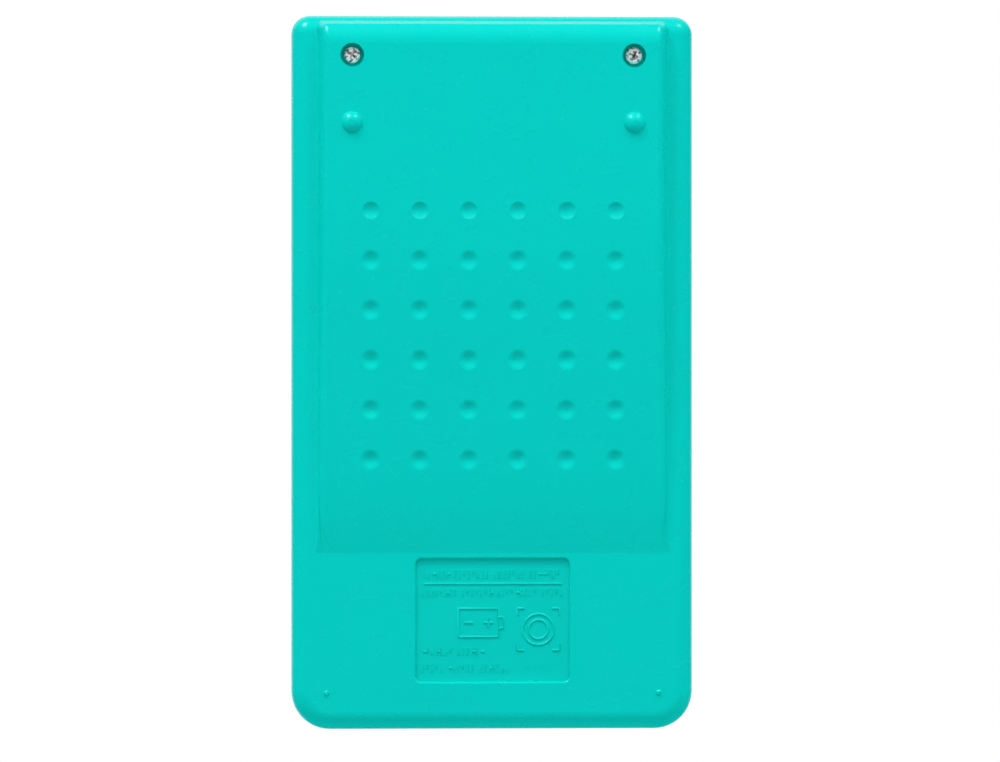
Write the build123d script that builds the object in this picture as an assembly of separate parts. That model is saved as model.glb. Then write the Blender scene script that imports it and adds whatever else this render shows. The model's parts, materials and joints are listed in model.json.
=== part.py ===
from build123d import *
import math
import os

# A pocket calculator. Everything is modelled level, in the case's own axes: +X to the user's right, +Y
# towards the display end, +Z out of the keys, and z = 0 on the flat of the back around the wedge. On export
# the whole assembly is tipped by the small angle at which it stands on its four feet, with them on z = 0.
# All sizes are in millimetres.

# Case
CASE_WIDTH = 65.0
CASE_LENGTH = 115.5
PARTING_Z = 4.2
FRONT_FACE_Z = 8.4
WALL = 1.3
DISPLAY_END_CORNER_RADIUS = 3.0
KEY_END_CORNER_RADIUS = 6.2
BACK_RIM_RADIUS = 2.85
FRONT_RIM_RADIUS = 1.8
PARTING_BEVEL = 0.15
LIP_OUTER_INSET = 0.75
LIP_HEIGHT = 0.8
LIP_ROOT_DEPTH = 0.5
LIP_GAP = 0.1

# Raised wedge on the back, between the two side rails. It climbs from the key end in the slopes listed
# here, as (y, degrees), with a straight run or an arc from each to the next, and is level after the last.
WEDGE_SLOPES = [(-29.2, 8.4), (-16.2, 2.8), (12.0, 2.7), (26.0, 0.0)]
WEDGE_HALF_WIDTH = 28.3
WEDGE_SIDE_DRAFT = 20.0
WEDGE_EDGE_RADIUS = 1.2
WEDGE_FOOT_RADIUS = 0.9
WEDGE_FOOT_FADE_LENGTH = 6.0
WEDGE_BURIED_DEPTH = 3.0

# The wedge's end at the display end: a crown, then a tighter edge, then a steep wall
WEDGE_CROWN_RADIUS = 4.5
WEDGE_CROWN_SLOPE = 38.0
WEDGE_END_EDGE_RADIUS = 1.4
WEDGE_END_DRAFT = 14.0

# Grip dimples on the wedge
DIMPLE_COUNT = 6
DIMPLE_PITCH_X = 7.91
DIMPLE_PITCH_Y = 8.05
DIMPLE_CENTRE_Y = 5.98
DIMPLE_DIAMETER = 2.8
DIMPLE_DEPTH = 0.42
DIMPLE_RIM_RADIUS = 1.1

# Feet
DOME_X = 22.8
DOME_Y = 40.3
DOME_DIAMETER = 3.5
DOME_HEIGHT = 1.0
PIP_X = 26.9
PIP_Y = -51.8
PIP_DIAMETER = 0.9
PIP_HEIGHT = 0.32
FOOT_WEAR = 0.05

# Recessed label plate
LABEL_WIDTH = 24.8
LABEL_HEIGHT = 19.85
LABEL_Y = -40.08
LABEL_DEPTH = 0.55
LABEL_CORNER_RADIUS = 0.9
LABEL_RIM_RADIUS = 0.35

# Case screws, with their heads sunk in the back
SCREW_X = 22.75
SCREW_Y = 51.17
COUNTERBORE_DIAMETER = 3.8
SCREW_SEAT_Z = -1.1
BACK_BOSS_TOP_Z = 0.0
BACK_BOSS_DIAMETER = 6.4
FRONT_BOSS_DIAMETER = 4.6
SCREW_DIAMETER = 2.0
SCREW_HEAD_DIAMETER = 2.7
SCREW_HEAD_HEIGHT = 1.1
SCREW_HEAD_EDGE_RADIUS = 0.55
SCREW_LENGTH = 6.6
SCREW_TIP_DIAMETER = 0.5
SCREW_HOLE_PLAY = 0.3
PILOT_EXTRA_DEPTH = 0.4
THREAD_CLEARANCE = 0.02
CROSS_RECESS_SPAN = 1.55
CROSS_RECESS_SLOT = 0.42
CROSS_RECESS_DEPTH = 0.75
CROSS_RECESS_TURN = 25.0
CROSS_RECESS_TAPER = 12.0

# Small parts on the board's underside
CHIP_DIAMETER = 11.0
CHIP_HEIGHT = 1.0
CHIP_Y = 15.0
CAPACITOR_SIZE = (2.0, 1.25, 0.9)
CAPACITOR_PLACES = [(-9.0, 18.0), (-9.0, 14.0)]
RESISTOR_SIZE = (2.0, 1.25, 0.5)
RESISTOR_PLACES = [(9.0, 18.0), (9.0, 15.0), (9.0, 12.0)]

# Circuit board and the screws that hold it to the front cover
BOARD_BOTTOM_Z = 2.4
BOARD_THICKNESS = 1.0
BOARD_WIDTH = 59.0
BOARD_DISPLAY_END_Y = 48.2
BOARD_KEY_END_Y = -52.3
BOARD_CORNER_RADIUS = 2.0
POST_DIAMETER = 3.4
UPPER_POST_X = 23.0
UPPER_POST_Y = 22.8
BOARD_SCREW_DIAMETER = 1.7
BOARD_SCREW_HEAD_DIAMETER = 2.9
BOARD_SCREW_HEAD_HEIGHT = 0.75
BOARD_SCREW_HEAD_EDGE_RADIUS = 0.3
BOARD_SCREW_LENGTH = 3.6
BOARD_SCREW_RECESS_SPAN = 1.4
BOARD_SCREW_RECESS_SLOT = 0.35
BOARD_SCREW_RECESS_DEPTH = 0.45

# Keys
KEY_COLUMN_PITCH = 11.6
KEY_ROW_PITCH = 13.6
KEY_TOP_ROW_Y = 13.4
KEY_WIDTH = 8.6
KEY_HEIGHT = 7.4
KEY_CORNER_RADIUS = 1.7
KEY_TOP_Z = 9.9
KEY_EDGE_RADIUS = 0.45
KEY_DISH_RADIUS = 22.0
KEY_DISH_DEPTH = 0.2
KEY_SIDE_GAP = 0.2
KEY_FLANGE_WIDTH = 0.6
KEY_FLANGE_BOTTOM_Z = 6.35
KEY_FLANGE_GAP = 0.05
KEY_PLUNGER_DIAMETER = 3.2
KEY_TRAVEL = 0.8
KEYPAD_RECESS_DEPTH = 0.3
KEYPAD_MARGIN = 1.6
OPENING_BEVEL = 0.15

# Rubber membrane
MEMBRANE_WIDTH = 57.6
MEMBRANE_THICKNESS = 0.6
MEMBRANE_MARGIN_Y = 5.8
MEMBRANE_CORNER_RADIUS = 2.0
MEMBRANE_POST_GAP = 0.3
DOME_BASE_RADIUS = 3.6
DOME_TOP_RADIUS = 1.9
DOME_WALL = 0.6
DOME_ROOF = 1.1
PILL_DIAMETER = 2.6
PILL_THICKNESS = 0.35
PLUNGER_GAP = 0.05

# Display
WINDOW_WIDTH = 54.0
WINDOW_HEIGHT = 20.0
WINDOW_Y = 38.0
WINDOW_THICKNESS = 0.9
WINDOW_CORNER_RADIUS = 1.6
WINDOW_GAP = 0.1
WINDOW_BEVEL = 0.15
VIEW_WIDTH = 46.0
VIEW_HEIGHT = 12.6
VIEW_CORNER_RADIUS = 0.8
BEZEL_BOTTOM_Z = 6.6
BEZEL_CORNER_RADIUS = 2.0
GLASS_WIDTH = 50.0
GLASS_HEIGHT = 16.4
GLASS_THICKNESS = 0.9
GLASS_TOP_Z = 6.5
GLASS_Y = 37.4
CONTACT_LEDGE = 2.5
CONNECTOR_WIDTH = 1.9
CONNECTOR_END_MARGIN = 3.0
FOAM_END_MARGIN = 2.0
FOAM_SIDE_MARGIN = 1.0
HOLDER_WALL = 1.6
HOLDER_CORNER_RADIUS = 1.0
INNER_GAP = 0.1

# Button cell, standing in a ring inside the wedge
CELL_DIAMETER = 11.6
CELL_HEIGHT = 3.05
CELL_Y = 35.0
CELL_BOTTOM_Z = -1.3
CELL_EDGE_RADIUS = 0.4
CELL_CAP_DIAMETER = 9.6
CELL_CAP_HEIGHT = 0.45
CELL_CAP_EDGE_RADIUS = 0.25
CELL_RING_BORE = 12.2
CELL_RING_WALL = 1.0
CELL_RING_TOP_Z = 0.9
CONTACT_THICKNESS = 0.2
CONTACT_WIDTH = 4.0
CONTACT_NOTCH_GAP = 0.3
CONTACT_RING_GAP = 1.0
CONTACT_TOUCH_REACH = 2.0
CONTACT_PAD_START = 9.0
CONTACT_PAD_END = 6.0

# Snap hooks at the key end
HOOK_X = 15.0
HOOK_WIDTH = 6.0
HOOK_THICKNESS = 1.0
HOOK_BOTTOM_Z = 2.5
HOOK_BARB = 0.55
HOOK_BARB_HEIGHT = 0.6
HOOK_GAP = 0.15

# The keys, row by row from the display end, each row from left to right
KEY_ROWS = [
    ["square_root", "percent", "memory_recall", "memory_minus", "memory_plus"],
    ["sign", "7", "8", "9", "divide"],
    ["off", "4", "5", "6", "multiply"],
    ["clear", "1", "2", "3", "minus"],
    ["all_clear", "0", "decimal", "equals", "plus"],
]

# How far one shape runs into or past another, where the two are joined or one cuts the other
OVERLAP = 0.1

# How closely an edge has to match the place or the length by which it is looked up
TINY = 0.01
RIM_LENGTH_MATCH = 0.2

# Sizes that follow from those above
HALF_LENGTH = CASE_LENGTH / 2
FRONT_WALL_Z = FRONT_FACE_Z - WALL
BOARD_TOP_Z = BOARD_BOTTOM_Z + BOARD_THICKNESS
MEMBRANE_TOP_Z = BOARD_TOP_Z + MEMBRANE_THICKNESS
PLUNGER_BOTTOM_Z = BOARD_TOP_Z + PILL_THICKNESS + KEY_TRAVEL + DOME_ROOF + 2 * PLUNGER_GAP
DOME_PEAK_Z = PLUNGER_BOTTOM_Z - PLUNGER_GAP
SCREW_PLACES = [(-SCREW_X, SCREW_Y), (SCREW_X, SCREW_Y)]
KEYPAD_MIDDLE_Y = KEY_TOP_ROW_Y - 2 * KEY_ROW_PITCH
WINDOW_SEAT_Z = FRONT_FACE_Z - WINDOW_THICKNESS
KEY_GAP_X = 1.5 * KEY_COLUMN_PITCH
KEY_GAP_YS = [KEY_TOP_ROW_Y - (row + 0.5) * KEY_ROW_PITCH for row in (1, 3)]
KEY_GAP_POST_PLACES = [(side * KEY_GAP_X, y) for side in (-1, 1) for y in KEY_GAP_YS]
POST_PLACES = KEY_GAP_POST_PLACES + [(-UPPER_POST_X, UPPER_POST_Y), (UPPER_POST_X, UPPER_POST_Y)]


def key_places():
    """Each key's name and the centre of its cap."""
    places = {}
    for row, names in enumerate(KEY_ROWS):
        for column, name in enumerate(names):
            x = (column - 2) * KEY_COLUMN_PITCH
            y = KEY_TOP_ROW_Y - row * KEY_ROW_PITCH
            places["key_" + name] = (x, y)
    return places


def wedge_z(y):
    """Height of the wedge's outer surface at a place along the case, before its rounded end."""
    rise = 0.0
    for (start_y, start_slope), (end_y, end_slope) in zip(WEDGE_SLOPES, WEDGE_SLOPES[1:]):
        reach = min(max(y - start_y, 0), end_y - start_y)
        start_sine = math.sin(math.radians(start_slope))
        end_sine = math.sin(math.radians(end_slope))
        sine = start_sine + (end_sine - start_sine) * reach / (end_y - start_y)
        chord_angle = (math.radians(start_slope) + math.asin(sine)) / 2
        rise += reach * math.tan(chord_angle)
    return -rise


# Heights that follow from the wedge's shape
WEDGE_CREST_Z = wedge_z(HALF_LENGTH)
DOME_GROUND_Z = wedge_z(DOME_Y) + FOOT_WEAR - DOME_HEIGHT
PIP_GROUND_Z = FOOT_WEAR - PIP_HEIGHT
STANDING_ANGLE = math.degrees(math.atan2(PIP_GROUND_Z - DOME_GROUND_Z, DOME_Y - PIP_Y))


def cap_radius(diameter, height):
    """Radius of the sphere whose cap has this diameter and height."""
    return ((diameter / 2) ** 2 + height**2) / (2 * height)


def rounded_plate(width, length, radius, bottom_z, top_z, x=0.0, y=0.0):
    plate = extrude(RectangleRounded(width, length, radius), top_z - bottom_z)
    return Pos(x, y, bottom_z) * plate


def peg(diameter, bottom_z, top_z, x=0.0, y=0.0):
    """An upright cylinder between two heights."""
    height = top_z - bottom_z
    return Pos(x, y, bottom_z + height / 2) * Cylinder(diameter / 2, height)


def block(x_range, y_range, z_range):
    """A box between two corners."""
    middle = [(low + high) / 2 for low, high in (x_range, y_range, z_range)]
    sides = [high - low for low, high in (x_range, y_range, z_range)]
    return Pos(*middle) * Box(*sides)


def case_outline(inset):
    outline = Rectangle(CASE_WIDTH - 2 * inset, CASE_LENGTH - 2 * inset)
    key_end = outline.vertices().group_by(Axis.Y)[0]
    outline = fillet(key_end, KEY_END_CORNER_RADIUS - inset)
    display_end = [v for v in outline.vertices() if v.Y > HALF_LENGTH - inset - TINY]
    return fillet(display_end, DISPLAY_END_CORNER_RADIUS - inset)


def case_slab(inset, bottom_z, top_z):
    return Pos(0, 0, bottom_z) * extrude(case_outline(inset), top_z - bottom_z)


def wedge_profile_points():
    """Places along the wedge's side outline, each as y, z and slope in degrees, from end to end."""
    first_y, first_slope = WEDGE_SLOPES[0]
    buried_y = first_y - WEDGE_BURIED_DEPTH / math.tan(math.radians(first_slope))
    points = [(buried_y, WEDGE_BURIED_DEPTH, first_slope)]
    points += [(y, wedge_z(y), slope) for y, slope in WEDGE_SLOPES]

    crown = math.radians(WEDGE_CROWN_SLOPE)
    steepest = math.radians(90 - WEDGE_END_DRAFT)
    crown_width = WEDGE_CROWN_RADIUS * math.sin(crown)
    crown_height = WEDGE_CROWN_RADIUS * (1 - math.cos(crown))
    edge_width = WEDGE_END_EDGE_RADIUS * (math.sin(steepest) - math.sin(crown))
    edge_height = WEDGE_END_EDGE_RADIUS * (math.cos(crown) - math.cos(steepest))
    crown_end_z = WEDGE_CREST_Z + crown_height
    wall_top_z = crown_end_z + edge_height
    draft = math.tan(math.radians(WEDGE_END_DRAFT))
    wall_top_y = HALF_LENGTH - (PARTING_Z - wall_top_z) * draft
    crown_end_y = wall_top_y - edge_width
    points.append((crown_end_y - crown_width, WEDGE_CREST_Z, 0.0))
    points.append((crown_end_y, crown_end_z, -WEDGE_CROWN_SLOPE))
    points.append((wall_top_y, wall_top_z, WEDGE_END_DRAFT - 90))
    wall_foot_y = HALF_LENGTH - (PARTING_Z - WEDGE_BURIED_DEPTH) * draft
    points.append((wall_foot_y, WEDGE_BURIED_DEPTH, WEDGE_END_DRAFT - 90))
    return points


def wedge_side_view(inset):
    """The wedge seen from the side, carried across the whole width of the case."""
    places = []
    for y, z, slope in wedge_profile_points():
        angle = math.radians(slope)
        places.append((y + inset * math.sin(angle), z + inset * math.cos(angle), slope))
    outline = []
    for (start_y, start_z, start_slope), (end_y, end_z, end_slope) in zip(places, places[1:]):
        start, end = (start_y, start_z), (end_y, end_z)
        angle = math.radians(start_slope)
        if start_slope == end_slope:
            outline.append(Line(start, end))
        else:
            outline.append(TangentArc(start, end, tangent=(math.cos(angle), -math.sin(angle))))
    first, last = places[0][:2], places[-1][:2]
    outline.append(Line(last, first))
    return extrude(Plane.YZ * make_face(outline), CASE_WIDTH / 2, both=True)


def wedge_block(inset):
    """The wedge with its rounded end and drafted sides, from inside the back out to its crest."""
    slope = math.tan(math.radians(WEDGE_SIDE_DRAFT))
    base = WEDGE_HALF_WIDTH - inset
    root_z = WEDGE_BURIED_DEPTH + inset
    below = 1 - WEDGE_CREST_Z
    end_view = Polygon(
        (-base - root_z * slope, root_z),
        (base + root_z * slope, root_z),
        (base - below * slope, -below),
        (-base + below * slope, -below),
        align=None,
    )
    along = extrude(Plane.XZ * end_view, CASE_LENGTH, both=True)
    return wedge_side_view(inset) & along


def rounded_wedge():
    wedge = wedge_block(0)
    side_edges = []
    for edge in wedge.edges():
        start, end = edge @ 0, edge @ 1
        if start.X * end.X > 0 and min(start.Z, end.Z) < WEDGE_BURIED_DEPTH - 1:
            side_edges.append(edge)
    return fillet(side_edges, WEDGE_EDGE_RADIUS)


def wedge_foot_fillet(side):
    """The hollow curve along the foot of one of the wedge's side walls, fading out near the display end."""
    draft = math.radians(WEDGE_SIDE_DRAFT)
    radius = WEDGE_FOOT_RADIUS
    centre_x = WEDGE_HALF_WIDTH + radius * (1 - math.sin(draft)) / math.cos(draft)
    on_back = (side * centre_x, 0)
    on_wall = (side * (centre_x - radius * math.cos(draft)), radius * (math.sin(draft) - 1))
    toward_root = math.atan2(radius, WEDGE_HALF_WIDTH - centre_x)
    arc_middle = (side * (centre_x + radius * math.cos(toward_root)), radius * (math.sin(toward_root) - 1))
    buried_z = WALL / 4
    section = make_face(
        [
            ThreePointArc(on_back, arc_middle, on_wall),
            Line(on_wall, (side * (WEDGE_HALF_WIDTH - radius), buried_z)),
            Line((side * (WEDGE_HALF_WIDTH - radius), buried_z), (side * centre_x, buried_z)),
            Line((side * centre_x, buried_z), on_back),
        ]
    )
    strip = extrude(Plane.XZ * section, CASE_LENGTH, both=True)
    start_y = WEDGE_SLOPES[0][0]
    end_y = HALF_LENGTH - BACK_RIM_RADIUS
    side_limits = Polygon(
        (start_y, WALL),
        (start_y, -radius),
        (end_y - WEDGE_FOOT_FADE_LENGTH, -radius),
        (end_y, 0),
        (end_y, WALL),
        align=None,
    )
    return strip & wedge_side_view(0) & extrude(Plane.YZ * side_limits, CASE_WIDTH, both=True)


def dimple_places():
    steps = [number - (DIMPLE_COUNT - 1) / 2 for number in range(DIMPLE_COUNT)]
    return [(x * DIMPLE_PITCH_X, DIMPLE_CENTRE_Y + y * DIMPLE_PITCH_Y) for x in steps for y in steps]


def foot_ball(x, y, surface_z, diameter, height):
    """A ball that stands out of a surface as a cap of this diameter and height."""
    radius = cap_radius(diameter, height)
    return Pos(x, y, surface_z - height + radius) * Sphere(radius)


def ground_block():
    """The space below the surface that the calculator stands on."""
    width, length, depth = 2 * CASE_WIDTH, 2 * CASE_LENGTH, CASE_WIDTH
    ground = Pos(0, HALF_LENGTH, -depth / 2) * Box(width, length, depth)
    return Pos(0, PIP_Y, PIP_GROUND_Z) * Rot(-STANDING_ANGLE, 0, 0) * ground


def back_outside():
    outside = case_slab(0, 0, PARTING_Z)
    outside = fillet(outside.edges().group_by(Axis.Z)[0], BACK_RIM_RADIUS)
    outside = chamfer(outside.edges().group_by(Axis.Z)[-1], PARTING_BEVEL)
    outside += rounded_wedge()
    for side in (-1, 1):
        outside += wedge_foot_fillet(side)

    ball_radius = cap_radius(DIMPLE_DIAMETER, DIMPLE_DEPTH)
    for x, y in dimple_places():
        outside -= Pos(x, y, wedge_z(y) + DIMPLE_DEPTH - ball_radius) * Sphere(ball_radius)
    rim_length = math.pi * DIMPLE_DIAMETER
    rims = [e for e in outside.edges() if e.is_closed and abs(e.length / rim_length - 1) < RIM_LENGTH_MATCH]
    outside = fillet(rims, DIMPLE_RIM_RADIUS)

    label = rounded_plate(LABEL_WIDTH, LABEL_HEIGHT, LABEL_CORNER_RADIUS, -1, LABEL_DEPTH, y=LABEL_Y)
    outside -= label
    mouth = []
    for edge in outside.edges().filter_by_position(Axis.Z, -TINY, TINY):
        middle = edge.center()
        if abs(middle.X) < LABEL_WIDTH / 2 + TINY and abs(middle.Y - LABEL_Y) < LABEL_HEIGHT / 2 + TINY:
            mouth.append(edge)
    outside = fillet(mouth, LABEL_RIM_RADIUS)

    for side in (-1, 1):
        outside += foot_ball(side * DOME_X, DOME_Y, wedge_z(DOME_Y), DOME_DIAMETER, DOME_HEIGHT)
        outside += foot_ball(side * PIP_X, PIP_Y, 0, PIP_DIAMETER, PIP_HEIGHT)
    return outside - ground_block()


def back_cavity():
    cavity = case_slab(WALL, WALL, PARTING_Z + 1)
    cavity = fillet(cavity.edges().group_by(Axis.Z)[0], BACK_RIM_RADIUS - WALL)
    return cavity + wedge_block(WALL)


def hook_barb(x, gap):
    """The barb of one snap hook, grown by a gap where it is used to cut its pocket in the back cover."""
    wall_y = -HALF_LENGTH + WALL
    return block(
        (x - HOOK_WIDTH / 2 - gap, x + HOOK_WIDTH / 2 + gap),
        (wall_y - HOOK_BARB + HOOK_GAP - gap, wall_y + HOOK_GAP),
        (HOOK_BOTTOM_Z - gap, HOOK_BOTTOM_Z + HOOK_BARB_HEIGHT + gap),
    )


def back_cover():
    cover = back_outside() - back_cavity()
    lip = case_slab(LIP_OUTER_INSET, PARTING_Z - LIP_ROOT_DEPTH, PARTING_Z + LIP_HEIGHT)
    cover += lip - case_slab(WALL, PARTING_Z - 1, PARTING_Z + LIP_HEIGHT + 1)
    for x, y in SCREW_PLACES:
        cover += peg(BACK_BOSS_DIAMETER, wedge_z(y) + WALL / 2, BACK_BOSS_TOP_Z, x, y)
        bore = peg(COUNTERBORE_DIAMETER, WEDGE_CREST_Z - 1, SCREW_SEAT_Z, x, y)
        hole_diameter = SCREW_DIAMETER + SCREW_HOLE_PLAY
        cover -= bore + peg(hole_diameter, SCREW_SEAT_Z - OVERLAP, BACK_BOSS_TOP_Z + OVERLAP, x, y)
    ring_bottom = wedge_z(CELL_Y) + WALL / 2
    ring = peg(CELL_RING_BORE + 2 * CELL_RING_WALL, ring_bottom, CELL_RING_TOP_Z, y=CELL_Y)
    ring -= peg(CELL_RING_BORE, ring_bottom - OVERLAP, CELL_RING_TOP_Z + OVERLAP, y=CELL_Y)
    notch_x = CONTACT_WIDTH / 2 + CONTACT_NOTCH_GAP
    ring -= block((-notch_x, notch_x), (CELL_Y, CELL_Y + CELL_DIAMETER), (WEDGE_CREST_Z, PARTING_Z))
    cover += ring
    for side in (-1, 1):
        cover -= hook_barb(side * HOOK_X, HOOK_GAP)
    return cover


def front_cover():
    cover = case_slab(0, PARTING_Z, FRONT_FACE_Z)
    cover = fillet(cover.edges().group_by(Axis.Z)[-1], FRONT_RIM_RADIUS)
    cover = chamfer(cover.edges().group_by(Axis.Z)[0], PARTING_BEVEL)
    cover -= keypad_recess()
    inside = case_slab(WALL, PARTING_Z - 1, FRONT_WALL_Z)
    cover -= fillet(inside.edges().group_by(Axis.Z)[-1], FRONT_RIM_RADIUS - WALL)
    cover -= case_slab(LIP_OUTER_INSET - LIP_GAP, PARTING_Z - 1, PARTING_Z + LIP_HEIGHT + LIP_GAP)

    frame_width = WINDOW_WIDTH + 2 * WALL
    frame_height = WINDOW_HEIGHT + 2 * WALL
    frame_top_z = FRONT_WALL_Z + OVERLAP
    cover += rounded_plate(
        frame_width, frame_height, BEZEL_CORNER_RADIUS, BEZEL_BOTTOM_Z, frame_top_z, y=WINDOW_Y
    )
    seat_width = WINDOW_WIDTH + 2 * WINDOW_GAP
    seat_height = WINDOW_HEIGHT + 2 * WINDOW_GAP
    seat_radius = WINDOW_CORNER_RADIUS + WINDOW_GAP
    cover -= rounded_plate(seat_width, seat_height, seat_radius, WINDOW_SEAT_Z, FRONT_FACE_Z + 1, y=WINDOW_Y)
    cover -= rounded_plate(
        VIEW_WIDTH, VIEW_HEIGHT, VIEW_CORNER_RADIUS, BEZEL_BOTTOM_Z - 1, WINDOW_SEAT_Z + 1, y=WINDOW_Y
    )

    for x, y in SCREW_PLACES:
        hole_top_z = SCREW_SEAT_Z + SCREW_LENGTH + PILOT_EXTRA_DEPTH
        cover += peg(FRONT_BOSS_DIAMETER, BACK_BOSS_TOP_Z, FRONT_WALL_Z + OVERLAP, x, y)
        cover -= peg(SCREW_DIAMETER + 2 * THREAD_CLEARANCE, BACK_BOSS_TOP_Z - 1, hole_top_z, x, y)
    for x, y in POST_PLACES:
        hole_top_z = BOARD_BOTTOM_Z + BOARD_SCREW_LENGTH + PILOT_EXTRA_DEPTH
        cover += peg(POST_DIAMETER, BOARD_TOP_Z, FRONT_WALL_Z + OVERLAP, x, y)
        cover -= peg(BOARD_SCREW_DIAMETER + 2 * THREAD_CLEARANCE, BOARD_TOP_Z - 1, hole_top_z, x, y)
    for side in (-1, 1):
        cover += hook_barb(side * HOOK_X, 0)
        tab_y = -HALF_LENGTH + WALL + HOOK_GAP
        tab_x = (side * HOOK_X - HOOK_WIDTH / 2, side * HOOK_X + HOOK_WIDTH / 2)
        cover += block(tab_x, (tab_y, tab_y + HOOK_THICKNESS), (HOOK_BOTTOM_Z, FRONT_WALL_Z + OVERLAP))
    return cover - key_openings()


def keypad_recess():
    width = 4 * KEY_COLUMN_PITCH + KEY_WIDTH + 2 * KEYPAD_MARGIN
    height = 4 * KEY_ROW_PITCH + KEY_HEIGHT + 2 * KEYPAD_MARGIN
    radius = KEY_CORNER_RADIUS + KEYPAD_MARGIN
    floor_z = FRONT_FACE_Z - KEYPAD_RECESS_DEPTH
    return rounded_plate(width, height, radius, floor_z, FRONT_FACE_Z + 1, y=KEYPAD_MIDDLE_Y)


def key_openings():
    """One tool with all the key openings, each with a small lead-in at the recessed face."""
    width = KEY_WIDTH + 2 * KEY_SIDE_GAP
    height = KEY_HEIGHT + 2 * KEY_SIDE_GAP
    radius = KEY_CORNER_RADIUS + KEY_SIDE_GAP
    face_z = FRONT_FACE_Z - KEYPAD_RECESS_DEPTH
    opening = rounded_plate(width, height, radius, FRONT_WALL_Z - 1, face_z + 1)
    bevel = extrude(
        Pos(0, 0, face_z - OPENING_BEVEL) * RectangleRounded(width, height, radius),
        2 * OPENING_BEVEL,
        taper=-45,
    )
    opening += bevel
    return Compound([Pos(x, y, 0) * opening for x, y in key_places().values()])


def display_window():
    window = rounded_plate(
        WINDOW_WIDTH, WINDOW_HEIGHT, WINDOW_CORNER_RADIUS, WINDOW_SEAT_Z, FRONT_FACE_Z, y=WINDOW_Y
    )
    return chamfer(window.edges().group_by(Axis.Z)[-1], WINDOW_BEVEL)


def lcd_panel():
    """A front glass, and a shorter rear glass that leaves the contact ledge free at the key side."""
    middle_z = GLASS_TOP_Z - GLASS_THICKNESS
    x_range = (-GLASS_WIDTH / 2, GLASS_WIDTH / 2)
    low_y, high_y = GLASS_Y - GLASS_HEIGHT / 2, GLASS_Y + GLASS_HEIGHT / 2
    front_glass = block(x_range, (low_y, high_y), (middle_z, GLASS_TOP_Z))
    rear_glass = block(x_range, (low_y + CONTACT_LEDGE, high_y), (middle_z - GLASS_THICKNESS, middle_z))
    return front_glass + rear_glass


def lcd_holder():
    outer_width = GLASS_WIDTH + 2 * INNER_GAP + 2 * HOLDER_WALL
    outer_height = GLASS_HEIGHT + 2 * INNER_GAP + 2 * HOLDER_WALL
    holder = rounded_plate(
        outer_width, outer_height, HOLDER_CORNER_RADIUS, BOARD_TOP_Z, GLASS_TOP_Z, y=GLASS_Y
    )
    opening = Pos(0, GLASS_Y, GLASS_TOP_Z) * Box(
        GLASS_WIDTH + 2 * INNER_GAP, GLASS_HEIGHT + 2 * INNER_GAP, 4 * GLASS_TOP_Z
    )
    return holder - opening


def lcd_foam_pad():
    x = GLASS_WIDTH / 2 - FOAM_END_MARGIN
    low_y = GLASS_Y - GLASS_HEIGHT / 2 + CONTACT_LEDGE + FOAM_SIDE_MARGIN
    high_y = GLASS_Y + GLASS_HEIGHT / 2 - FOAM_SIDE_MARGIN
    return block((-x, x), (low_y, high_y), (BOARD_TOP_Z, GLASS_TOP_Z - 2 * GLASS_THICKNESS))


def lcd_connector():
    x = GLASS_WIDTH / 2 - CONNECTOR_END_MARGIN
    middle_y = GLASS_Y - GLASS_HEIGHT / 2 + CONTACT_LEDGE / 2
    y_range = (middle_y - CONNECTOR_WIDTH / 2, middle_y + CONNECTOR_WIDTH / 2)
    return block((-x, x), y_range, (BOARD_TOP_Z, GLASS_TOP_Z - GLASS_THICKNESS))


def circuit_board():
    length = BOARD_DISPLAY_END_Y - BOARD_KEY_END_Y
    middle_y = (BOARD_DISPLAY_END_Y + BOARD_KEY_END_Y) / 2
    board = rounded_plate(
        BOARD_WIDTH, length, BOARD_CORNER_RADIUS, BOARD_BOTTOM_Z, BOARD_TOP_Z, y=middle_y
    )
    for x, y in POST_PLACES:
        board -= peg(BOARD_SCREW_DIAMETER + SCREW_HOLE_PLAY, BOARD_BOTTOM_Z - 1, BOARD_TOP_Z + 1, x, y)
    return board


def controller_chip():
    """A drop of resin over the chip, on the board's underside."""
    radius = cap_radius(CHIP_DIAMETER, CHIP_HEIGHT)
    ball = Pos(0, CHIP_Y, BOARD_BOTTOM_Z - CHIP_HEIGHT + radius) * Sphere(radius)
    return ball - Pos(0, CHIP_Y, BOARD_BOTTOM_Z + radius) * Box(4 * radius, 4 * radius, 2 * radius)


def chip_parts(places, size):
    """Small soldered parts on the board's underside, as separate solids."""
    length, width, height = size
    return Compound([Pos(x, y, BOARD_BOTTOM_Z - height / 2) * Box(length, width, height) for x, y in places])


def membrane_dome(x, y):
    """One rubber dome and the hollow under it, as a pair of solids."""
    height = DOME_PEAK_Z - MEMBRANE_TOP_Z
    hollow_height = DOME_PEAK_Z - DOME_ROOF - BOARD_TOP_Z
    dome = Pos(x, y, MEMBRANE_TOP_Z + height / 2) * Cone(DOME_BASE_RADIUS, DOME_TOP_RADIUS, height)
    hollow = Pos(x, y, BOARD_TOP_Z + hollow_height / 2) * Cone(
        DOME_BASE_RADIUS - DOME_WALL, DOME_TOP_RADIUS, hollow_height
    )
    return dome, hollow


def keypad_membrane():
    places = key_places().values()
    height = 4 * KEY_ROW_PITCH + 2 * MEMBRANE_MARGIN_Y
    sheet = rounded_plate(
        MEMBRANE_WIDTH, height, MEMBRANE_CORNER_RADIUS, BOARD_TOP_Z, MEMBRANE_TOP_Z, y=KEYPAD_MIDDLE_Y
    )
    for x, y in KEY_GAP_POST_PLACES:
        sheet -= peg(POST_DIAMETER + 2 * MEMBRANE_POST_GAP, BOARD_TOP_Z - 1, MEMBRANE_TOP_Z + 1, x, y)
    domes = [membrane_dome(x, y) for x, y in places]
    sheet += Compound([dome for dome, hollow in domes])
    return sheet - Compound([hollow for dome, hollow in domes])


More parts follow.
